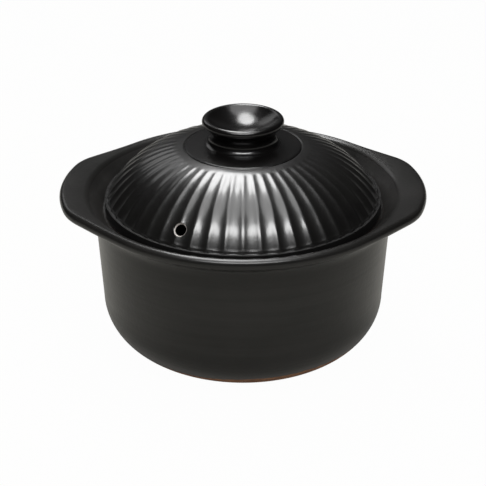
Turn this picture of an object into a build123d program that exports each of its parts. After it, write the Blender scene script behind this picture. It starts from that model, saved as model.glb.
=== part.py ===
"""A deep clay rice pot with two ear handles and a fluted, domed lid.

Lengths are millimetres and angles are degrees. The origin is the middle of
the foot, on the surface that the pot stands on. +Z is up, +X runs out through
one ear, and the side that faces the cook looks along -Y.
"""
import os
from math import acos, asin, atan2, cos, degrees, hypot, radians, sin, tan

from build123d import *

# Outside of the pot
body_radius = 98.6        # outer wall, just below the flange
wall_taper_share = 0.059  # the wall leans in by this share of its height
corner_across = 38.2      # round bottom corner, measured along the floor
corner_up = 35.7          # the same corner, measured up the wall
foot_radius = 60.0        # unglazed foot ring
foot_width = 8.0
foot_height = 2.0
flare_radius = 12.0       # hollow curve that carries the flange

# Flange and ears
pot_height = 113.8        # floor to the top of the ears
flange_thickness = 7.0
flange_overhang = 11.4    # rim beyond the body, front and back
flange_crown = 80.0       # the flange is slightly arched, with this radius
flange_edge_round = 3.2
ear_reach = 11.3          # how much further the ears reach than the rim
ear_tip_half_angle = 18.0
ear_corner_radius = 38.0
crest_setback = 4.9       # from the body's outer wall to the crest of the rim
crest_round = 7.0

# Inside of the pot
wall_thickness = 9.5
base_thickness = 8.0
ledge_depth = 14.3        # ear tops down to the ledge that carries the lid
ledge_width = 5.8
ledge_round = 2.0
collar_flare = 10.2       # the collar leans out by this much above the ledge
collar_root_round = 1.2

# Lid
lid_play = 1.5            # gap all round between the lid and the collar
lid_rim_thickness = 8.0
lid_rim_round = 1.6
lid_brim_width = 2.4      # flat brim outside the flutes
lid_brim_step = 1.4       # the ridges end this far above the brim
lid_wall = 8.0
dome_rise = 33.2          # foot of the dome up to the edge of the glossy disc
disc_radius = 38.5        # glossy disc round the knob
disc_groove_radius = 0.7
crown_slope = 8.0         # slope of the lid at the disc's edge

# Flutes, cut with one round-nosed gouge that sinks deeper towards the rim
flute_count = 50
gouge_radius = 14.5
flute_depths = (0.20, 0.54, 0.98)
flute_shares = (0.86, 0.47, 0.03)  # places along the dome, from its foot

# Steam hole
steam_hole_radius = 3.6
steam_hole_rim = 0.7
steam_hole_azimuth = -117.7
steam_hole_share = 0.154

# Knob
knob_neck_radius = 19.4
knob_foot_spread = 2.6    # round of glaze where the neck meets the lid
knob_foot_edge = 0.4
knob_height = 17.4
knob_lip_radius = 24.2    # to the middle of the rolled lip
knob_lip_round = 2.6
knob_lip_start = -50.0    # the neck runs into the lip at this angle
knob_dish_depth = 9.0

overrun = 2.0             # how far a cutter runs past what it cuts
seam_azimuth = 45.0       # the pot's turned surfaces close here


def on_circle(centre, radius, angle):
    """The point of a circle at an angle from its first axis."""
    return (centre[0] + radius * cos(radians(angle)), centre[1] + radius * sin(radians(angle)))


# The rim is an arched ring whose highest circle runs through the ears' tips
flange_radius = body_radius + flange_overhang
ear_radius = flange_radius + ear_reach
crest_radius = body_radius + crest_setback
crown_centre = (ear_radius, pot_height - flange_crown)
under_crown = flange_crown - flange_thickness


def crown_angle(radius, across):
    """Angle on the flange's arch at a distance from the pot's axis."""
    return 90 - degrees(asin((across - ear_radius) / radius))


crest = on_circle(crown_centre, flange_crown, crown_angle(flange_crown, crest_radius))
wall_top = on_circle(crown_centre, under_crown, crown_angle(under_crown, body_radius))
corner_height = foot_height + corner_up
wall_foot_radius = body_radius - wall_taper_share * (wall_top[1] - corner_height)
corner_centre = (wall_foot_radius - corner_across, corner_height)

# The lid sits on a ledge inside the collar
ledge_height = pot_height - ledge_depth
collar_radius = crest_radius - collar_flare
cavity_radius = collar_radius - ledge_width
inner_foot_radius = wall_foot_radius - wall_thickness
inner_corner_up = corner_up - base_thickness

# Pot, turned in one piece and then cut to the outline of rim and ears. The
# section stands between an ear and the back, so that the seam where the
# turned surfaces close stays clear of the ears' tips
with BuildPart() as pot_body:
    with BuildSketch(Plane.XZ.rotated((0, 0, seam_azimuth))) as pot_section:
        foot_lean = asin((foot_radius - corner_centre[0]) / corner_across)
        foot_shoulder = corner_centre[1] - corner_up * cos(foot_lean)
        edge_radius = ear_radius + overrun
        with BuildLine():
            Polyline(
                (0, foot_height),
                (foot_radius - foot_width, foot_height),
                (foot_radius - foot_width, 0),
                (foot_radius, 0),
                (foot_radius, foot_shoulder),
            )
            EllipticalCenterArc(
                corner_centre, corner_across, corner_up,
                start_angle=degrees(foot_lean) - 90, arc_size=90 - degrees(foot_lean),
            )
            Line((wall_foot_radius, corner_height), wall_top)
            under_from = crown_angle(under_crown, body_radius)
            under_to = crown_angle(under_crown, edge_radius)
            under = CenterArc(crown_centre, under_crown, under_from, under_to - under_from)
            top_from = crown_angle(flange_crown, edge_radius)
            top_to = crown_angle(flange_crown, crest_radius)
            top = CenterArc(crown_centre, flange_crown, top_from, top_to - top_from)
            Line(under @ 1, top @ 0)
            Polyline(
                crest,
                (collar_radius, ledge_height),
                (cavity_radius, ledge_height),
                (inner_foot_radius, corner_height),
            )
            EllipticalCenterArc(
                corner_centre, inner_foot_radius - corner_centre[0], inner_corner_up,
                start_angle=-90, arc_size=90,
            )
            Polyline(
                (corner_centre[0], corner_height - inner_corner_up),
                (0, corner_height - inner_corner_up),
                (0, foot_height),
            )
        make_face()
        corners = pot_section.vertices()
        fillet(corners.sort_by_distance(wall_top)[0], flare_radius)
        corners = pot_section.vertices()
        fillet(corners.sort_by_distance(crest)[0], crest_round)
        corners = pot_section.vertices()
        fillet(corners.sort_by_distance((collar_radius, ledge_height))[0], collar_root_round)
        corners = pot_section.vertices()
        fillet(corners.sort_by_distance((cavity_radius, ledge_height))[0], ledge_round)
    revolve(axis=Axis.Z)

    with BuildSketch(Plane.XY.offset(-overrun)) as rim_outline:
        tip_centre = (ear_reach, 0)
        corner_path = flange_radius - ear_corner_radius
        ear_corner = on_circle(tip_centre, corner_path, ear_tip_half_angle)
        ear_bearing = degrees(atan2(ear_corner[1], ear_corner[0]))
        blend_angle = ear_bearing + degrees(acos(corner_path / hypot(*ear_corner)))
        with BuildLine():
            CenterArc(tip_centre, flange_radius, 0, ear_tip_half_angle)
            CenterArc(ear_corner, ear_corner_radius, ear_tip_half_angle,
                      blend_angle - ear_tip_half_angle)
            Line(on_circle(ear_corner, ear_corner_radius, blend_angle),
                 on_circle((0, 0), flange_radius, blend_angle))
            CenterArc((0, 0), flange_radius, blend_angle, 90 - blend_angle)
            mirror(about=Plane.YZ)
            mirror(about=Plane.XZ)
        make_face()
    extrude(amount=pot_height + 2 * overrun, mode=Mode.INTERSECT)
    rim_edges = pot_body.edges().filter_by(
        lambda edge: hypot(*tuple(edge @ 0.5)[:2]) > (crest_radius + flange_radius) / 2
    )
    fillet(rim_edges.filter_by(Axis.Z, reverse=True), flange_edge_round)
pot_body.part.label = "pot_body"

# The dome of the lid is one arc from the brim's inner edge to the glossy disc
lid_radius = collar_radius - lid_play
brim_height = ledge_height + lid_rim_thickness
dome_foot = (lid_radius - lid_brim_width, brim_height + lid_brim_step)
dome_top = (disc_radius, dome_foot[1] + dome_rise)
dome_span = (dome_foot[0] - dome_top[0], dome_foot[1] - dome_top[1])
crown_normal = (sin(radians(crown_slope)), cos(radians(crown_slope)))
dome_lean = dome_span[0] * crown_normal[0] + dome_span[1] * crown_normal[1]
dome_radius = -(dome_span[0] ** 2 + dome_span[1] ** 2) / (2 * dome_lean)
dome_centre = on_circle(dome_top, dome_radius, 270 - crown_slope)
dome_from = degrees(atan2(dome_foot[1] - dome_centre[1], dome_foot[0] - dome_centre[0]))
dome_turn = 90 - crown_slope - dome_from
knob_seat_radius = knob_neck_radius + knob_foot_spread
knob_seat_height = dome_top[1] + (disc_radius - knob_seat_radius) * tan(radians(crown_slope))


def on_dome(share, depth):
    """A point of the lid's section, at a share of the dome and below its surface."""
    return on_circle(dome_centre, dome_radius - depth, dome_from + share * dome_turn)


# The gouge's nose travels along an arc above the dome, so each flute is a
# shallow round channel. It runs out over the foot of the dome, where the brim
# is added after the cuts, so that the ridges end in small steps on the brim
with BuildPart() as gouge:
    with BuildLine(Plane.XZ) as gouge_path:
        places = zip(flute_shares, flute_depths)
        ThreePointArc(*[on_dome(share, depth - gouge_radius) for share, depth in places])
    with BuildSketch(Plane(origin=gouge_path.line @ 0, z_dir=gouge_path.line % 0)):
        Circle(gouge_radius)
    sweep()
    with Locations(gouge_path.line @ 0, gouge_path.line @ 1):
        Sphere(gouge_radius)

with BuildPart() as lid_dome:
    with BuildSketch(Plane.XZ):
        under_dome = on_dome(0, lid_wall)
        under_top = dome_centre[1] + dome_radius - lid_wall
        with BuildLine():
            Polyline((0, knob_seat_height), (0, under_top), (dome_centre[0], under_top))
            CenterArc(dome_centre, dome_radius - lid_wall, dome_from, 90 - dome_from)
            Polyline(
                under_dome,
                (under_dome[0], ledge_height),
                (dome_foot[0], ledge_height),
                dome_foot,
            )
            CenterArc(dome_centre, dome_radius, dome_from, dome_turn)
            Polyline(dome_top, (knob_seat_radius, knob_seat_height), (0, knob_seat_height))
        make_face()
    revolve(axis=Axis.Z)
    with BuildSketch(Plane.XZ):
        with Locations(dome_top):
            Circle(disc_groove_radius)
    revolve(axis=Axis.Z, mode=Mode.SUBTRACT)
    with PolarLocations(0, flute_count):
        add(gouge.part, mode=Mode.SUBTRACT)
    with BuildSketch(Plane.XZ) as brim_section:
        rim_width = lid_radius - (under_dome[0] + dome_foot[0]) / 2
        with Locations((lid_radius, ledge_height)):
            Rectangle(rim_width, lid_rim_thickness, align=(Align.MAX, Align.MIN))
        fillet(brim_section.vertices().group_by(Axis.X)[-1], lid_rim_round)
    revolve(axis=Axis.Z)
    hole_lean = dome_from + steam_hole_share * dome_turn
    hole_axis = Vector(cos(radians(hole_lean)), 0, sin(radians(hole_lean)))
    hole_mouth = on_dome(steam_hole_share, 0)
    hole_axis = hole_axis.rotate(Axis.Z, steam_hole_azimuth)
    hole_place = Vector(hole_mouth[0], 0, hole_mouth[1]).rotate(Axis.Z, steam_hole_azimuth)
    with Locations(Plane(origin=hole_place, z_dir=hole_axis)):
        CounterSinkHole(
            radius=steam_hole_radius,
            counter_sink_radius=steam_hole_radius + steam_hole_rim,
            depth=lid_wall + overrun,
            counter_sink_angle=90,
        )
lid_dome.part.label = "lid_dome"

# Knob: a waisted neck, a rolled lip and a dished top that lets the upturned
# lid stand on it
with BuildPart() as lid_knob:
    with BuildSketch(Plane.XZ) as knob_section:
        knob_top = knob_seat_height + knob_height
        lip_centre = (knob_lip_radius, knob_top - knob_lip_round)
        dish_rise = knob_dish_depth - 2 * knob_lip_round
        dish_radius = (knob_lip_radius**2 / knob_dish_depth + dish_rise) / 2
        lip_end = 90 + degrees(asin(knob_lip_radius / (dish_radius + knob_lip_round)))
        foot_round = (knob_seat_radius, knob_seat_height + knob_foot_edge + knob_foot_spread)
        with BuildLine():
            Polyline(
                (0, knob_seat_height),
                (knob_seat_radius, knob_seat_height),
                (knob_seat_radius, knob_seat_height + knob_foot_edge),
            )
            foot = CenterArc(foot_round, knob_foot_spread, 270, -90)
            lip = CenterArc(lip_centre, knob_lip_round, knob_lip_start, lip_end - knob_lip_start)
            Spline(foot @ 1, lip @ 0, tangents=(foot % 1, lip % 0))
            dish_bottom = (0, knob_top - knob_dish_depth)
            RadiusArc(dish_bottom, lip @ 1, -dish_radius)
            Line(dish_bottom, (0, knob_seat_height))
        make_face()
    revolve(axis=Axis.Z)
lid_knob.part.label = "lid_knob"

os.makedirs("parts", exist_ok=True)
for piece in (pot_body, lid_dome, lid_knob):
    export_step(piece.part, f"parts/{piece.part.label}.step")

print(f"pot {2 * ear_radius:.1f} across the ears, {2 * flange_radius:.1f} deep")
print(f"height with its lid {knob_seat_height + knob_height:.1f}")
print(f"dome arc radius {dome_radius:.1f}, centre {dome_centre[0]:.1f}, {dome_centre[1]:.1f}")
print(f"steam hole at {tuple(round(v, 2) for v in hole_place)}")
print(f"steam hole axis {tuple(round(v, 4) for v in hole_axis)}")
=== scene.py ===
# %% [markdown]
# # A clay rice pot, dressed for its portrait
# The pot was measured and built as plain solids first. Here it gets its clay,
# its glazes and its light. The solids are loaded as a frame that never moves,
# and every new piece is made in that frame, in metres, with +Z up.

# %% Load the frame
import math

import bpy
import numpy as np
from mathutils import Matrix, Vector


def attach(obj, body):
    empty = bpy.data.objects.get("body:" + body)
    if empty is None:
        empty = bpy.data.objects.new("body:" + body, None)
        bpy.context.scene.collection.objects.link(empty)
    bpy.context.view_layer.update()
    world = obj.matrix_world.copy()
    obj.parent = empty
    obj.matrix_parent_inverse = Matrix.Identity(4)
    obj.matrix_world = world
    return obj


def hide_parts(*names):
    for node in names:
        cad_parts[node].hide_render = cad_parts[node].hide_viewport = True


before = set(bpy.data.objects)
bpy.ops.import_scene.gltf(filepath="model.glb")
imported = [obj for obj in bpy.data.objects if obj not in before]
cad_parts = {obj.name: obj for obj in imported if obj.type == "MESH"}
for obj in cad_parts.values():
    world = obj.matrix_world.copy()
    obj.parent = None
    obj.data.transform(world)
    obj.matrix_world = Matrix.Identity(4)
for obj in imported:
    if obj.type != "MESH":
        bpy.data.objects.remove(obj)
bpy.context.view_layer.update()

# %% [markdown]
# ## The camera
# Fitting the pot's outline puts the camera a little above it, at about 26
# degrees, and about a metre away with a long lens if the pot has this size.
# Both ears are equally wide in the photograph, so the camera stands straight
# in front.

# %% Camera
EYE_HEIGHT_ANGLE = math.radians(26.5)
EYE_DISTANCE = 1.0142
LENS_MM = 111.1
LOOK_AT = Vector((0, 0, 0.07055))

scene = bpy.context.scene
scene.view_settings.view_transform = "Standard"
eye = bpy.data.objects.new("eye", bpy.data.cameras.new("eye"))
scene.collection.objects.link(eye)
towards_eye = Vector((0, -math.cos(EYE_HEIGHT_ANGLE), math.sin(EYE_HEIGHT_ANGLE)))
eye.location = LOOK_AT + EYE_DISTANCE * towards_eye
eye.rotation_euler = (-towards_eye).to_track_quat("-Z", "Y").to_euler()
eye.data.lens = LENS_MM
scene.camera = eye
print("camera at", tuple(round(v, 3) for v in eye.location))

# %% [markdown]
# ## Drawing sections
# Everything here is round, like pottery from a wheel, so each piece starts as
# a section: points that give a distance from the axis and a height. Three helpers draw
# one. `arc` samples a circle or an ellipse, `rounded` turns sharp corners into
# small curves, as wet clay and glaze do, and `spread` cuts long straight runs
# into short ones. Sections are written in millimetres, like the measurements.

# %% Section helpers
MM = 0.001


def on_arc(centre, radii, angle):
    """The point of an ellipse at an angle in degrees."""
    turn = math.radians(angle)
    return (centre[0] + radii[0] * math.cos(turn), centre[1] + radii[1] * math.sin(turn))


def arc(centre, radii, start, end, steps):
    """Points along part of an ellipse, both ends included."""
    return [on_arc(centre, radii, start + (end - start) * i / steps) for i in range(steps + 1)]


def rounded(corners, steps):
    """A run of corners (across, up, radius), each with a radius drawn as a curve."""
    run = [corners[0][:2]]
    for before, corner, after in zip(corners, corners[1:], corners[2:]):
        if len(corner) < 3:
            run.append(corner[:2])
            continue
        here, radius = np.array(corner[:2]), corner[2]
        back, on = np.array(before[:2]) - here, np.array(after[:2]) - here
        back, on = back / np.linalg.norm(back), on / np.linalg.norm(on)
        half = math.acos(max(-1.0, min(1.0, float(back @ on)))) / 2
        start = here + back * radius / math.tan(half)
        end = here + on * radius / math.tan(half)
        middle = here + (back + on) / np.linalg.norm(back + on) * radius / math.sin(half)
        for i in range(steps + 1):
            chord = start + (end - start) * i / steps - middle
            run.append(tuple(middle + chord / np.linalg.norm(chord) * radius))
    return run + [corners[-1][:2]]


def spread(run, longest):
    """The same run with no step longer than that, in millimetres."""
    fine = [run[0]]
    for a, b in zip(run, run[1:]):
        pieces = max(1, math.ceil(math.dist(a, b) / longest))
        fine += [(a[0] + (b[0] - a[0]) * i / pieces, a[1] + (b[1] - a[1]) * i / pieces)
                 for i in range(1, pieces + 1)]
    return fine


quarter_circle = arc((0, 0), (1, 1), start=0, end=90, steps=2)
print("a quarter circle:", [tuple(round(v, 2) for v in point) for point in quarter_circle])

# %% [markdown]
# ## From rings to a skin
# A turned piece is a stack of rings. Each ring is one row of points round the
# axis, and neighbours are joined by four-sided faces. Blender's Screw modifier
# could turn a section too, but it keeps every row a circle. Building the mesh
# ring by ring lets any row leave the circle: the ears and the flutes need that.

# %% Skin helper
def ring(across, up, turns):
    """One level ring, in millimetres, at the given turns in radians."""
    return np.stack([across * np.cos(turns), across * np.sin(turns), np.full(len(turns), up)], 1)


def skin(name, rings, paints, paint_of_row):
    """A closed mesh through the rings, with a centre point at each end."""
    count = len(rings[0])
    points = np.concatenate(rings) * MM
    ends = [Vector(points[:count].mean(0)), Vector(points[-count:].mean(0))]
    faces, rows = [], []
    for row in range(len(rings) - 1):
        near, far = row * count, (row + 1) * count
        for i in range(count):
            j = (i + 1) % count
            faces.append((near + i, near + j, far + j, far + i))
            rows.append(row)
    first, last = len(points), len(points) + 1
    final_ring = (len(rings) - 1) * count
    for i in range(count):
        j = (i + 1) % count
        faces.append((first, j, i))
        faces.append((last, final_ring + i, final_ring + j))
        rows += [0, len(rings) - 2]
    mesh = bpy.data.meshes.new(name)
    mesh.from_pydata([tuple(p) for p in points] + [tuple(e) for e in ends], [], faces)
    for paint in paints:
        mesh.materials.append(paint)
    for face, row in zip(mesh.polygons, rows):
        face.use_smooth = True
        face.material_index = paint_of_row(row)
    piece = bpy.data.objects.new(name, mesh)
    scene.collection.objects.link(piece)
    print(name, len(mesh.polygons), "faces")
    return piece


# %% [markdown]
# ## Shader sums
# A glaze changes a little everywhere: thick and thin, smooth and pitted. Those
# changes are sums on noise. The class below wraps a socket of a node, so that
# such a sum is written like any other sum, and each operator adds its node.

# %% Socket class
class Wire:
    """A socket of a material's nodes, which can be used in sums."""

    def __init__(self, tree, socket=None):
        self.tree, self.socket = tree, socket

    def node(self, kind, settings=(), inputs=(), out=0):
        """Adds a node, sets it up, feeds its sockets and gives one of its outputs."""
        new = self.tree.nodes.new("ShaderNode" + kind)
        for name, value in dict(settings).items():
            setattr(new, name, value)
        for name, value in dict(inputs).items():
            if isinstance(value, Wire):
                self.tree.links.new(value.socket, new.inputs[name])
            else:
                new.inputs[name].default_value = value
        return Wire(self.tree, new.outputs[out])

    def math(self, operation, *values):
        return self.node("Math", {"operation": operation}, dict(enumerate(values)))

    def __add__(self, other):
        return self.math("ADD", self, other)

    def __sub__(self, other):
        return self.math("SUBTRACT", self, other)

    def __rsub__(self, other):
        return self.math("SUBTRACT", other, self)

    def __mul__(self, other):
        return self.math("MULTIPLY", self, other)

    __radd__ = __add__
    __rmul__ = __mul__

    def step(self, low, high):
        """0 below low, 1 above high, and a soft rise between."""
        return self.node("MapRange", {"interpolation_type": "SMOOTHSTEP"},
                         {"Value": self, "From Min": low, "From Max": high})

    def blend(self, low, high):
        """A colour between two, with this socket as the share of the second."""
        return self.node("Mix", {"data_type": "RGBA"}, {0: self, 6: low, 7: high}, out=2)


print("sockets can now be added, multiplied and blended")

# %% [markdown]
# A material starts as a Principled shader and a place on the pot. The next
# class holds both, and makes noise whose lumps have a size in millimetres, so
# that a pit in the glaze stays as large as a pit whatever it is on.

# %% Paint class
class Paint:
    """A material under construction: its shader, and noise at real sizes."""

    def __init__(self, name):
        self.material = bpy.data.materials.new(name)
        self.material.use_nodes = True
        self.tree = self.material.node_tree
        self.shader = self.tree.nodes["Principled BSDF"]
        self.start = Wire(self.tree)
        self.place = self.start.node("TexCoord", out="Object")

    def noise(self, size_mm, stretch=(1, 1, 1), detail=2.0, rough=0.5):
        """Noise whose lumps are about that large, squeezed along the axes."""
        spot = self.start.node("Mapping", {}, {"Vector": self.place, "Scale": stretch})
        return self.start.node("TexNoise", {}, {
            "Vector": spot, "Scale": 1 / (size_mm * MM), "Detail": detail, "Roughness": rough})

    def clouds(self, size_mm, first, second, detail=3.0):
        """A colour that drifts between two in soft clouds."""
        return self.noise(size_mm, detail=detail).step(0.3, 0.7).blend(first, second)

    def along(self, axis):
        """How far a point lies along an axis of the pot, in millimetres."""
        return self.start.node("SeparateXYZ", {}, {0: self.place}, out=axis) * (1 / MM)

    def finish(self, color, roughness, bump, depth_mm, **constants):
        """Feeds the shader, and gives back the material."""
        tilt = self.start.node("Bump", {}, {
            "Strength": 1.0, "Distance": depth_mm * MM, "Height": bump})
        for name, value in (("Base Color", color), ("Roughness", roughness), ("Normal", tilt)):
            if isinstance(value, Wire):
                self.tree.links.new(value.socket, self.shader.inputs[name])
            else:
                self.shader.inputs[name].default_value = value
        for name, value in constants.items():
            self.shader.inputs[name.replace("_", " ")].default_value = value
        print("made", self.material.name)
        return self.material


# %% [markdown]
# ## The glazes and the clay
# The pot wears one dark glaze, fired satin on the pot and the flutes and
# glossy on the knob and the disc round it. It isn't quite black: it leans to a
# warm grey where it is thin. Turning leaves faint level bands, and firing
# leaves a skin that is slightly uneven. The foot is bare, as on pots that are
# wiped before the firing, so a rim of red clay shows under a glaze line that
# wanders. The lid's narrow brim is made dull, because a glossy one would mirror
# the bright distance as a line that the photograph doesn't show. Its black is
# also painted a little darker than the flutes', as shade where the lid meets
# the pot.

# %% Colours
GLAZE_DEEP = (0.0058, 0.0057, 0.0052, 1)
GLAZE_THIN = (0.0150, 0.0142, 0.0136, 1)
GLOSS_BLACK = (0.0030, 0.0028, 0.0028, 1)
FLUTE_BLACK = (0.0036, 0.0033, 0.0032, 1)
CLAY_LIGHT = (0.42, 0.19, 0.085, 1)
CLAY_DARK = (0.22, 0.085, 0.038, 1)
# The steam hole's lip is pale: partly thin glaze, partly a painted highlight on its rounded edge.
LIP_PALE = (0.55, 0.52, 0.49, 1)
LIP_GREY = (0.34, 0.31, 0.28, 1)
THROWN = (0.25, 0.25, 5.0)       # squeezes noise into level bands


# %% Bare clay
def clay_color(paint):
    """Red clay with darker clouds and fine sand in it."""
    clouds = paint.noise(9.0, detail=4.0).step(0.35, 0.7)
    sand = paint.noise(0.7, detail=1.0).step(0.6, 0.72)
    return (clouds * 0.7 + sand * 0.3).blend(CLAY_LIGHT, CLAY_DARK)


paint = Paint("bare_clay")
BARE_CLAY = paint.finish(
    clay_color(paint), roughness=0.86, bump=paint.noise(0.9, detail=5.0, rough=0.7), depth_mm=0.10,
)

# %% [markdown]
# The glaze line is a height above the table, in millimetres. Two sizes of
# noise make it wander, and it rises slowly towards the right, where the
# photograph shows more clay. Below it the surface is rough and has no pits,
# and the glaze stands a little proud of it.

# %% Satin glaze with a wiped foot
GLAZE_LINE, LINE_FADE = 11.0, 0.7
LINE_LEAN, LEAN_START = 0.035, 1.5   # mm up for each mm to the right, and its middle
FOOT_ROUGH = 0.88

paint = Paint("pot_glaze")
bands = paint.noise(30.0, stretch=THROWN, detail=3.0)
clouds = paint.noise(45.0, detail=3.0)
glaze = (bands * 0.5 + clouds * 0.5).step(0.3, 0.72).blend(GLAZE_DEEP, GLAZE_THIN)
wander = paint.noise(38.0, detail=2.0) * 5.0 + paint.noise(5.0, detail=2.0) * 1.2
lean = paint.along("X") * LINE_LEAN + LEAN_START
glazed = (paint.along("Z") - wander - lean).step(GLAZE_LINE, GLAZE_LINE + LINE_FADE)
pits = paint.noise(2.5, detail=1.0) * 0.16 + bands * 0.6
pot_rough = paint.noise(6.0, detail=4.0) * 0.08 + 0.28
POT_GLAZE = paint.finish(
    glazed.blend(clay_color(paint), glaze),
    glazed * (pot_rough - FOOT_ROUGH) + FOOT_ROUGH,
    pits * glazed + glazed * 0.8, depth_mm=0.30,
    Specular_IOR_Level=0.28, Coat_Weight=0.30, Coat_Roughness=0.14, Coat_IOR=1.5,
)

# %% The same glaze inside the pot
paint = Paint("inside_glaze")
INSIDE_GLAZE = paint.finish(
    paint.clouds(45.0, GLAZE_DEEP, GLAZE_THIN), paint.noise(6.0) * 0.1 + 0.33,
    paint.noise(1.8) * 0.35 + paint.noise(30.0, stretch=THROWN) * 0.5, depth_mm=0.30,
)

# %% Satin glaze on the flutes
paint = Paint("lid_glaze")
LID_GLAZE = paint.finish(
    paint.clouds(30.0, FLUTE_BLACK, GLAZE_DEEP), paint.noise(4.0, detail=3.0) * 0.08 + 0.27,
    paint.noise(2.2, detail=2.0) + paint.noise(8.0) * 0.7, depth_mm=0.045,
    Specular_IOR_Level=0.68, Coat_Weight=0.42, Coat_Roughness=0.16, Coat_IOR=1.6,
)

# %% Glossy glaze on the knob and disc
paint = Paint("knob_glaze")
KNOB_GLAZE = paint.finish(
    paint.clouds(12.0, GLOSS_BLACK, FLUTE_BLACK), paint.noise(5.0, detail=3.0) * 0.05 + 0.19,
    paint.noise(3.5, detail=1.0) + paint.noise(9.0) * 1.2, depth_mm=0.04,
    Specular_IOR_Level=0.62,
)

# %% Dull glaze on the lid's brim, painted darker as shade
paint = Paint("brim_glaze_and_shade")
# Its blacks are darker than the flutes': painted shade where the lid meets the pot.
BRIM_GLAZE_AND_SHADE = paint.finish(
    paint.clouds(14.0, GLOSS_BLACK, FLUTE_BLACK), paint.noise(4.0, detail=3.0) * 0.10 + 0.42,
    paint.noise(2.2, detail=2.0), depth_mm=0.04,
    Specular_IOR_Level=0.25,
)

# %% Thin glaze and a painted highlight on the lip of the steam hole
paint = Paint("lip_glaze_and_highlight")
LIP_GLAZE_AND_HIGHLIGHT = paint.finish(
    paint.clouds(1.5, LIP_PALE, LIP_GREY, detail=2.0), paint.noise(1.0) * 0.1 + 0.35,
    paint.noise(0.8, detail=2.0), depth_mm=0.03,
)

# %% [markdown]
# ## The pot
# The rim swells out into two ears. From above, its outline is a circle. At
# each ear an arc of the same radius is pushed out, with a round corner on each
# side of it and a straight run that meets the circle smoothly. The outline is
# worked out for one quarter and mirrored.

# %% Outline of the rim
RIM_RADIUS, EAR_REACH, EAR_CORNER, TIP_ANGLE = 110.0, 11.3, 38.0, 18.0
OUTLINE_STEPS = 60
corner_path = RIM_RADIUS - EAR_CORNER
ear_middle = on_arc((EAR_REACH, 0), (corner_path, corner_path), TIP_ANGLE)
ear_bearing = math.degrees(math.atan2(ear_middle[1], ear_middle[0]))
BLEND_ANGLE = ear_bearing + math.degrees(math.acos(corner_path / math.hypot(*ear_middle)))

quarter = []
for centre, radius, start, end in (
    ((EAR_REACH, 0), RIM_RADIUS, 0, TIP_ANGLE),
    (ear_middle, EAR_CORNER, TIP_ANGLE, BLEND_ANGLE),
    ((0, 0), RIM_RADIUS, BLEND_ANGLE, 90),
):
    for angle in np.linspace(start, end, OUTLINE_STEPS):
        spot = on_arc(centre, (radius, radius), angle)
        quarter.append((math.atan2(spot[1], spot[0]), *spot, math.radians(angle)))
quarter = np.array(sorted(quarter))


def outline(turns):
    """Points of the rim's outline at these turns, and the way out at each."""
    folded = np.arccos(np.abs(np.cos(turns)))
    x, y, facing = (np.interp(folded, quarter[:, 0], quarter[:, k]) for k in (1, 2, 3))
    sides = np.stack([np.sign(np.cos(turns)), np.sign(np.sin(turns))], 1)
    return np.stack([x, y], 1) * sides, np.stack([np.cos(facing), np.sin(facing)], 1) * sides


print("rim:", 2 * (RIM_RADIUS + EAR_REACH), "mm across the ears")

# %% [markdown]
# The pot's section has two fixed parts, from the foot up to the hollow under
# the rim, and from the rim's crest down to the inner floor. The rim between
# them is drawn for each direction, because it reaches further at the ears. Its
# top and its underside are arches about one centre, seven millimetres apart.

# %% Sections of the pot
ARCH_CENTRE, ARCH_TOP, ARCH_UNDER = (121.3, 33.8), 80.0, 73.0
FOOT_INNER, FOOT_OUTER, FOOT_RECESS, FOOT_RISE = 52.0, 60.0, 2.0, 2.15
CORNER, CORNER_OUTSIDE, CORNER_INSIDE = (56.54, 37.7), (38.2, 35.7), (28.7, 27.7)
WALL_TOP, WALL_ROUND, HOLLOW_END = (98.6, 103.18), 12.0, 108.0
CREST, SHOULDER = 112.0, (103.5, 111.79, 7.0)
LEDGE, LEDGE_OUTER, LEDGE_INNER = 99.5, 93.3, 87.5
INNER_WALL_FOOT, INNER_FLOOR = (85.24, 37.7), (8.0, 10.0)


def rim_height(across, reach):
    """Height of the rim's arch, with the radius of its top or underside."""
    return ARCH_CENTRE[1] + np.sqrt(reach**2 - (across - ARCH_CENTRE[0])**2)


outside = [(20.0, FOOT_RECESS), (FOOT_INNER, FOOT_RECESS, 0.9), (FOOT_INNER, 0.0, 0.7),
           (FOOT_OUTER, 0.0, 0.9), (FOOT_OUTER, FOOT_RISE, 0.8)]
outside += arc(CORNER, CORNER_OUTSIDE, start=-82, end=0, steps=26)
outside += [(*WALL_TOP, WALL_ROUND), (HOLLOW_END, float(rim_height(HOLLOW_END, ARCH_UNDER)))]
outside = spread(rounded(outside, steps=10)[:-1], longest=3.5)

inside = [(CREST, float(rim_height(CREST, ARCH_TOP))), SHOULDER,
          (LEDGE_OUTER, LEDGE, 1.2), (LEDGE_INNER, LEDGE, 2.0), INNER_WALL_FOOT]
inside += arc(CORNER, CORNER_INSIDE, start=-4, end=-90, steps=22) + [INNER_FLOOR]
inside = spread(rounded(inside, steps=8)[1:], longest=3.5)
print("rows outside", len(outside), "and inside", len(inside))

# %% [markdown]
# The rim's edge is a half round about three millimetres in radius that follows
# the outline. Rows of the arch join it to the two fixed parts. Glaze covers the
# pot inside and out, apart from the foot and the ledge. The photograph hides
# the ledge. It is bare here because glaze there would hold the lid fast.

# %% Rings of the pot
COLUMNS_ROUND, HAIR_TURN = 360, 0.001  # the turn keeps points off the mirror lines
EDGE_ROUND, EDGE_HALF = 3.2, 3.5
BETWEEN = np.linspace(0, 1, 6)[1:-1]

turns = np.linspace(0, 2 * math.pi, COLUMNS_ROUND, endpoint=False) + HAIR_TURN
edge, way_out = outline(turns)
edge_middle = edge - way_out * EDGE_ROUND
edge_across = np.hypot(*edge_middle.T)
edge_level = (rim_height(edge_across, ARCH_TOP) + rim_height(edge_across, ARCH_UNDER)) / 2


def rim_ring(flat, reach):
    """A ring that lies on the rim's arch."""
    return np.column_stack([flat, rim_height(np.hypot(*flat.T), reach)])


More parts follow.
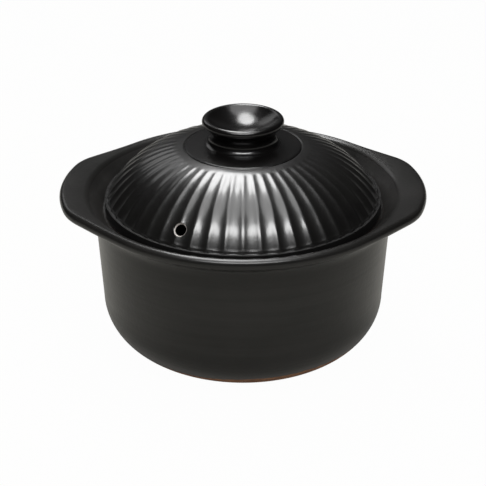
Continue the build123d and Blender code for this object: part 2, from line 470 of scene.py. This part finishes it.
rings = [ring(across, up, turns) for across, up in outside]
hollow = rings[-1][:, :2]
rings += [rim_ring(hollow * (1 - share) + edge_middle * share, ARCH_UNDER) for share in BETWEEN]
for angle in np.radians(np.linspace(-90, 90, 15)):
    flat = edge_middle + way_out * EDGE_ROUND * math.cos(angle)
    rings.append(np.column_stack([flat, edge_level + EDGE_HALF * math.sin(angle)]))
crest = ring(*inside[0], turns)[:, :2]
rings += [rim_ring(edge_middle * (1 - share) + crest * share, ARCH_TOP) for share in BETWEEN]
inner_start = len(rings)
rings += [ring(across, up, turns) for across, up in inside]
print("the pot has", len(rings), "rings")

# %% Pot mesh
BARE_EDGE, FLAT = 91.0, 0.05     # the ledge is bare inside this radius, where it is level
SATIN_ROWS = 8                   # the outer glaze reaches over the crest by these rows
ledge_rows = {
    inner_start + i for i, (spot, after) in enumerate(zip(inside, inside[1:]))
    if spot[0] < BARE_EDGE and max(abs(spot[1] - LEDGE), abs(after[1] - LEDGE)) < FLAT
}


def pot_paint(row):
    """Which material a row of the pot wears."""
    if row in ledge_rows:
        return 2
    return 1 if row >= inner_start + SATIN_ROWS else 0


pot = skin("thrown_pot", rings, [POT_GLAZE, INSIDE_GLAZE, BARE_CLAY], pot_paint)
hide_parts("pot_body")
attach(pot, "pot")

# %% [markdown]
# ## The lid
# Fifty flutes run down the dome, as if cut by a gouge with a round nose. The
# cuts get deeper towards the rim, so that the ridges between them stay just
# under the dome's surface all the way. The mesh has twelve columns for each flute, close
# together at the ridge, where glaze has rounded the clay to about a third of a
# millimetre. Two measures place a point: its share of the way up the dome, and
# how far sideways it lies, from 0 in the middle of a flute to 1 on a ridge.

# %% Flutes
DOME_MIDDLE, DOME_RADIUS = (28.54, 71.21), 71.59
DOME_FROM, DOME_TO = 31.77, 82.0
DOME_TURN = DOME_TO - DOME_FROM
FLUTES, GOUGE = 50, 14.5
FLUTE_SHARES, FLUTE_DEPTHS = (0.03, 0.47, 0.86), (0.98, 0.54, 0.20)
RIDGE_ROUND, SOFT_ENTRY = 0.35, 0.10
depth_along = np.polynomial.Polynomial.fit(FLUTE_SHARES, FLUTE_DEPTHS, 2)


def flute_cut(share, across):
    """How deep the gouge cuts at this share of the dome, for steps sideways."""
    half_pitch = across * math.pi / FLUTES
    low, high = FLUTE_SHARES[0], FLUTE_SHARES[-1]
    along = min(max(share, low), high)
    past = abs(share - along) * math.radians(DOME_TURN) * DOME_RADIUS

    def cut(sideways):
        from_ridge = (1 - sideways) * half_pitch
        soft = np.sqrt(from_ridge**2 + RIDGE_ROUND**2) - RIDGE_ROUND
        soft = soft * half_pitch / (math.hypot(half_pitch, RIDGE_ROUND) - RIDGE_ROUND)
        off = (half_pitch - soft)**2 + past**2
        raw = depth_along(along) - GOUGE + np.sqrt(np.maximum(GOUGE**2 - off, 0.0))
        return (raw + np.sqrt(raw**2 + SOFT_ENTRY**2)) / 2

    return cut


print("flute depth at mid-dome:", round(float(depth_along(FLUTE_SHARES[1])), 2), "mm")

# %% [markdown]
# The lid's underside is plain and turned, down to the ring that sits on the
# pot's ledge. That seat is hidden too, and bare for the same reason. The lid's
# edge rises from the seat and turns in to a narrow brim, which is dished by
# less than half a millimetre. The dish keeps a bright line off the brim.

# %% Underside of the lid
LID_WALL, CEILING, LID_INNER, LID_SHOULDER, LID_EDGE = 8.0, 134.8, 82.6, 104.7, 91.8
BRIM, BRIM_DISH, BRIM_LAP, BRIM_DROP = 107.5, 0.4, 0.6, 0.1
SEAT_TOP, BRIM_FROM = LEDGE + 0.9, 90.0
UNDERSIDE = (DOME_RADIUS - LID_WALL, DOME_RADIUS - LID_WALL)

under = [(8.0, CEILING), (DOME_MIDDLE[0], CEILING)]
under += arc(DOME_MIDDLE, UNDERSIDE, start=88, end=DOME_FROM + 1, steps=18)
under += [(LID_INNER, LID_SHOULDER, 1.5), (LID_INNER, LEDGE, 0.8), (LID_EDGE, LEDGE, 1.6),
          (LID_EDGE, BRIM, 0.35), (LID_EDGE - BRIM_LAP, BRIM - BRIM_DROP)]
under = spread(rounded(under, steps=6), longest=4.0)
seat_rows = {i for i, (spot, after) in enumerate(zip(under, under[1:]))
             if max(spot[1], after[1]) < SEAT_TOP}
brim_rows = {i for i, spot in enumerate(under) if spot[0] > BRIM_FROM and spot[1] > SEAT_TOP}
print("rows on the seat:", len(seat_rows), "and on the brim:", len(brim_rows))

# %% [markdown]
# The flutes run out on the brim, further in the middle of a flute than beside
# a ridge, so each ridge ends there in a small step. A Bezier curve with three
# points draws that end for every column.

# %% Flutes as rings
COLUMNS = 12
RUN_OUT, RIDGE_HOLD = 0.62, 0.47  # mm out for each mm down, and how much less at a ridge
END_OUT, END_LESS = 0.20, 0.15    # mm from there to where the curve starts on the brim
END_STEPS = 9
dome_shares = [*np.linspace(0.008, 0.22, 30), *np.linspace(0.23, 0.982, 58)]

steps = np.sin(np.linspace(-math.pi / 2, math.pi / 2, COLUMNS + 1))[:-1]
columns = np.array([flute + (step + 1) / 2 for flute in range(FLUTES) for step in steps])
turns = (columns - 0.5) * 2 * math.pi / FLUTES
sideways = np.abs(np.tile(steps, FLUTES))


def lid_ring(across, up):
    """A ring whose distance from the axis and height change from column to column."""
    return np.column_stack([across * np.cos(turns), across * np.sin(turns), up])


def fluted(share):
    """Distance from the axis and height of the fluted dome, at a share of its arc."""
    lean = math.radians(DOME_FROM + share * DOME_TURN)
    surface = DOME_MIDDLE[0] + DOME_RADIUS * math.cos(lean)
    sunk = DOME_RADIUS - flute_cut(share, surface)(sideways)
    return DOME_MIDDLE[0] + sunk * math.cos(lean), DOME_MIDDLE[1] + sunk * math.sin(lean)


rings = [ring(across, up, turns) for across, up in under]
foot_across, foot_up = fluted(0.0)
run_out = foot_across + (foot_up - BRIM) * (RUN_OUT - RIDGE_HOLD * sideways**3)
flute_end = run_out + END_OUT - END_LESS * sideways
for t in np.linspace(0, 1, END_STEPS):
    weights = ((1 - t)**2, 2 * t * (1 - t), t**2)
    across = weights[0] * flute_end + weights[1] * run_out + weights[2] * foot_across
    rings.append(lid_ring(across, (1 - weights[2]) * (BRIM - BRIM_DISH) + weights[2] * foot_up))
rings += [lid_ring(*fluted(share)) for share in dome_shares]
print("the lid has", len(rings), "rings up to its groove")

# %% [markdown]
# A shallow groove stops the flutes. Inside it lies a plain disc that slopes on
# up to the knob. The glossy glaze starts at the bottom of the groove.

# %% Groove and disc
GROOVE_RADIUS, GROOVE_HEIGHT = 38.5, 142.1
GROOVE_HALF, GROOVE_DEPTH, GROOVE_ROWS = 0.9, 0.55, 13
DISC_EDGE, DISC_ROWS, KNOB_FOOT = 36.8, 9, 25.0
CROWN_SLOPE = math.tan(math.radians(90 - DOME_TO))


def disc_height(across):
    """Height of the sloping disc, which goes on straight from the dome's end."""
    return GROOVE_HEIGHT + (GROOVE_RADIUS - across) * CROWN_SLOPE


groove_start = len(rings)
for aside in np.linspace(GROOVE_HALF, -GROOVE_HALF, GROOVE_ROWS):
    dip = GROOVE_DEPTH * (1 + math.cos(math.pi * aside / GROOVE_HALF)) / 2
    across = GROOVE_RADIUS + aside
    rings.append(ring(across, disc_height(across) - dip, turns))
for across in np.linspace(DISC_EDGE, KNOB_FOOT, DISC_ROWS):
    rings.append(ring(across, disc_height(across), turns))
KNOB_SEAT = disc_height(KNOB_FOOT)
rings += [ring(across, KNOB_SEAT, turns) for across in (KNOB_FOOT - 1, 12.0, 4.0)]


def lid_paint(row):
    """Which material a row of the lid wears."""
    if row in seat_rows:
        return 2
    if row in brim_rows:
        return 3
    return 1 if row >= groove_start + GROOVE_ROWS // 2 else 0


lid = skin("fluted_lid", rings, [LID_GLAZE, KNOB_GLAZE, BARE_CLAY, BRIM_GLAZE_AND_SHADE], lid_paint)

# %% [markdown]
# The steam hole goes through square to the dome, and its lip is as smooth as if
# a wet fingertip had run round it. Its cutter is a turned piece as well: a
# straight pin that flares at the surface like a trumpet. It sits almost a
# millimetre deep, about as deep as the flutes are there, so that the flare
# lies in the clay all round. A Boolean modifier takes it out of the lid, and
# the result is kept as the lid's mesh. The flare leaves its pale paint behind:
# thin glaze, with a painted highlight on the rounded lip.

# %% Cutter of the steam hole
HOLE_RADIUS, HOLE_LIP, LIP_STEPS = 3.7, 0.60, 9
PIN_TOP, PIN_END, PIN_WIDER, PIN_SUNK = 2.5, -14.0, 0.02, 0.85
HOLE_AT = Vector((-38.94, -74.17, 116.75))                  # on the dome, at the front left
HOLE_OUT = Vector((-0.3587, -0.6831, 0.6362)).normalized()  # square to the dome there

flare = [(HOLE_RADIUS + HOLE_LIP * (1 - math.sin(a)), -HOLE_LIP * (1 - math.cos(a)))
         for a in np.radians(np.linspace(0, 90, LIP_STEPS))]
pin = [(HOLE_RADIUS, PIN_END), *flare[::-1], (HOLE_RADIUS + HOLE_LIP + PIN_WIDER, PIN_TOP)]
pin_turns = np.linspace(0, 2 * math.pi, 48, endpoint=False)
# The flare's rows wear the pale lip paint: thin glaze and a painted highlight.
cutter = skin("hole_cutter", [ring(across, up, pin_turns) for across, up in pin],
              [LID_GLAZE, LIP_GLAZE_AND_HIGHLIGHT], lambda row: min(row, 1))
cutter.location = HOLE_AT * MM - HOLE_OUT * PIN_SUNK * MM
cutter.rotation_euler = HOLE_OUT.to_track_quat("Z", "Y").to_euler()

# %% Pierce the lid
cut = lid.modifiers.new("steam_hole", "BOOLEAN")
cut.operation, cut.solver, cut.object = "DIFFERENCE", "EXACT", cutter
cut.material_mode = "TRANSFER"
bpy.context.view_layer.update()
seen_by_blender = bpy.context.evaluated_depsgraph_get()
pierced = bpy.data.meshes.new_from_object(lid.evaluated_get(seen_by_blender))
lid.modifiers.remove(cut)
lid.data = pierced
bpy.data.objects.remove(cutter)
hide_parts("lid_dome")
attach(lid, "lid")
print("lid after piercing:", len(lid.data.polygons), "faces")

# %% [markdown]
# ## The knob
# The knob is a small cup on a waist. Its rolled lip is what fingers hold, and
# its dish would let the lid stand upside down on a table. Glaze gathers where
# the knob meets the lid, in a hollow curve that runs out onto the disc without
# a step. The waist is a Bezier curve from the top of that hollow to the lip.

# %% Knob mesh
LIP_MIDDLE, LIP_ROUND = (24.2, 159.2), 2.6
DISH_MIDDLE, DISH_RADIUS = (0.0, 187.24), 34.44
FOOT_CURVE = 4.5
UNDER_KNOB, TUCK_IN, TUCK_DOWN = 10.0, 0.3, 0.03
WAIST_PULL, LIP_PULL = 153.0, (2.4, 2.0)   # how far the waist's two handles reach

foot_lean = math.radians(DOME_TO)
foot_middle = (KNOB_FOOT + FOOT_CURVE * math.cos(foot_lean),
               KNOB_SEAT + FOOT_CURVE * math.sin(foot_lean))
NECK = foot_middle[0] - FOOT_CURVE
foot = arc(foot_middle, (FOOT_CURVE, FOOT_CURVE), start=180 + DOME_TO, end=180, steps=12)
lip = arc(LIP_MIDDLE, (LIP_ROUND, LIP_ROUND), start=-50, end=130.8, steps=22)
dish = arc(DISH_MIDDLE, (DISH_RADIUS, DISH_RADIUS), start=-50.5, end=-87, steps=18)
handles = (NECK, WAIST_PULL), (lip[0][0] - LIP_PULL[0], lip[0][1] - LIP_PULL[1])
waist = [np.array(point) for point in (foot[-1], *handles, lip[0])]


def on_waist(t):
    """A point of the Bezier curve of the waist."""
    weights = ((1 - t)**3, 3 * t * (1 - t)**2, 3 * t**2 * (1 - t), t**3)
    return tuple(sum(w * p for w, p in zip(weights, waist)))


profile = [(UNDER_KNOB, KNOB_SEAT), (KNOB_FOOT - TUCK_IN, KNOB_SEAT - TUCK_DOWN), *foot]
profile += [on_waist(i / 12) for i in range(1, 12)] + lip + dish
turns = np.linspace(0, 2 * math.pi, 144, endpoint=False)
grip_rings = [ring(across, up, turns) for across, up in profile]
knob = skin("lid_grip", grip_rings, [KNOB_GLAZE], lambda row: 0)
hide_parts("lid_knob")
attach(knob, "lid")

# %% [markdown]
# ## The studio
# The floor is pale grey. To the camera it shows white, apart from a small
# share of its own shading, so that the pot's shadow stays. A gloss sees a
# tenth of that white on it. The light path tells which of the two is looking,
# and a Mix Shader changes between plain grey paint and pure white.

# %% Floor
FLOOR_HALF, FLOOR_PAINT, FLOOR_ROUGH = 6.0, (0.345, 0.335, 0.30, 1), 0.9
WHITE = (1, 1, 1, 1)
CAMERA_SEES, GLOSS_SEES = 0.98, 0.10

floor_mesh = bpy.data.meshes.new("floor")
corners = [(x * FLOOR_HALF, y * FLOOR_HALF, 0) for x, y in ((-1, -1), (1, -1), (1, 1), (-1, 1))]
floor_mesh.from_pydata(corners, [], [(0, 1, 2, 3)])
floor = bpy.data.objects.new("floor", floor_mesh)
scene.collection.objects.link(floor)


def white_for(tree, camera, glossy):
    """How white the surroundings are: the shares for what the camera and a gloss see."""
    rays = tree.nodes.new("ShaderNodeLightPath")
    seen = {name: Wire(tree, rays.outputs[f"Is {name} Ray"])
            for name in ("Camera", "Transmission", "Glossy")}
    return (seen["Camera"] + seen["Transmission"]) * camera + seen["Glossy"] * glossy


floor_paint = bpy.data.materials.new("studio_floor")
floor_paint.use_nodes = True
tree = floor_paint.node_tree
floor_shader = tree.nodes["Principled BSDF"]
floor_shader.inputs["Base Color"].default_value = FLOOR_PAINT
floor_shader.inputs["Roughness"].default_value = FLOOR_ROUGH
white = Wire(tree).node("Emission", {}, {"Color": WHITE, "Strength": 1.0})
mixed = white.node("MixShader", {}, {
    0: white_for(tree, CAMERA_SEES, GLOSS_SEES), 1: Wire(tree, floor_shader.outputs[0]), 2: white})
tree.links.new(mixed.socket, tree.nodes["Material Output"].inputs[0])
floor_mesh.materials.append(floor_paint)
print("floor", 2 * FLOOR_HALF, "m across")

# %% [markdown]
# A glaze this black shows that the room above the lamps was dark. The world is
# white to the camera and almost black to everything else. Only a gloss also
# sees a pale band low over the horizon, behind the pot and in front of it. The
# band is brighter to the left and fades at the far left and right. It gives
# the rim and the disc their grey sheen.

# %% World
SKY, BAND = 0.010, 0.080
BAND_FROM, BAND_UNTIL = (0.02, 0.30), (0.42, 0.70)   # where the band fades in and out, upwards
SIDES = (0.08, 0.28)                                 # the same sideways, squared
LEFT_GAIN, RIGHT_LOSS, TURNOVER = 1.4, 0.8, 0.25

world = bpy.data.worlds.new("studio")
scene.world = world
world.use_nodes = True
tree = world.node_tree
direction = Wire(tree).node("TexCoord", out="Generated")
way_up = direction.node("SeparateXYZ", {}, {0: direction}, out="Z")
way_right = direction.node("SeparateXYZ", {}, {0: direction}, out="X")
backdrop = way_up.step(*BAND_FROM) * (1 - way_up.step(*BAND_UNTIL))
backdrop = backdrop * (1 - (way_right * way_right).step(*SIDES))
backdrop = backdrop * (LEFT_GAIN - way_right.step(-TURNOVER, TURNOVER) * RIGHT_LOSS) * BAND
strength = white_for(tree, 1.0, backdrop) * (1 - SKY) + SKY
tree.links.new(strength.socket, tree.nodes["Background"].inputs["Strength"])
tree.nodes["Background"].inputs["Color"].default_value = WHITE
print("world with", len(tree.nodes), "nodes")

# %% [markdown]
# The photograph is lit from above by soft lamps: one behind the pot, a broad
# one overhead, a long narrow one in front, and a faint one behind on the left.
# Each is an area lamp shaped like an ellipse, so that its highlight has no
# corners. Its direction is given as a turn from +X and a height
# above the horizon, in degrees, its distance and size in metres, and its power
# in watts.

# %% Lamps
LAMPS_FACE = Vector((0, 0, 0.13))    # the middle of the lid


def softbox(name, azimuth, elevation, distance, width, height, power):
    """A soft lamp in that direction from the lid, facing it."""
    lamp = bpy.data.objects.new(name, bpy.data.lights.new(name, "AREA"))
    scene.collection.objects.link(lamp)
    a, e = math.radians(azimuth), math.radians(elevation)
    way = Vector((math.cos(e) * math.cos(a), math.cos(e) * math.sin(a), math.sin(e)))
    lamp.location = LAMPS_FACE + way * distance
    lamp.rotation_euler = way.to_track_quat("Z", "Y").to_euler()
    lamp.data.shape, lamp.data.size, lamp.data.size_y = "ELLIPSE", width, height
    lamp.data.energy = power


softbox("lamp_behind", 100, 65, 1.3, 0.50, 0.86, 12.9)
softbox("lamp_overhead", -92, 85, 1.35, 1.25, 1.05, 8.6)
softbox("lamp_front", -90, 54, 1.3, 1.15, 0.27, 12.6)
softbox("lamp_left", 121, 31, 1.4, 0.56, 0.66, 0.80)
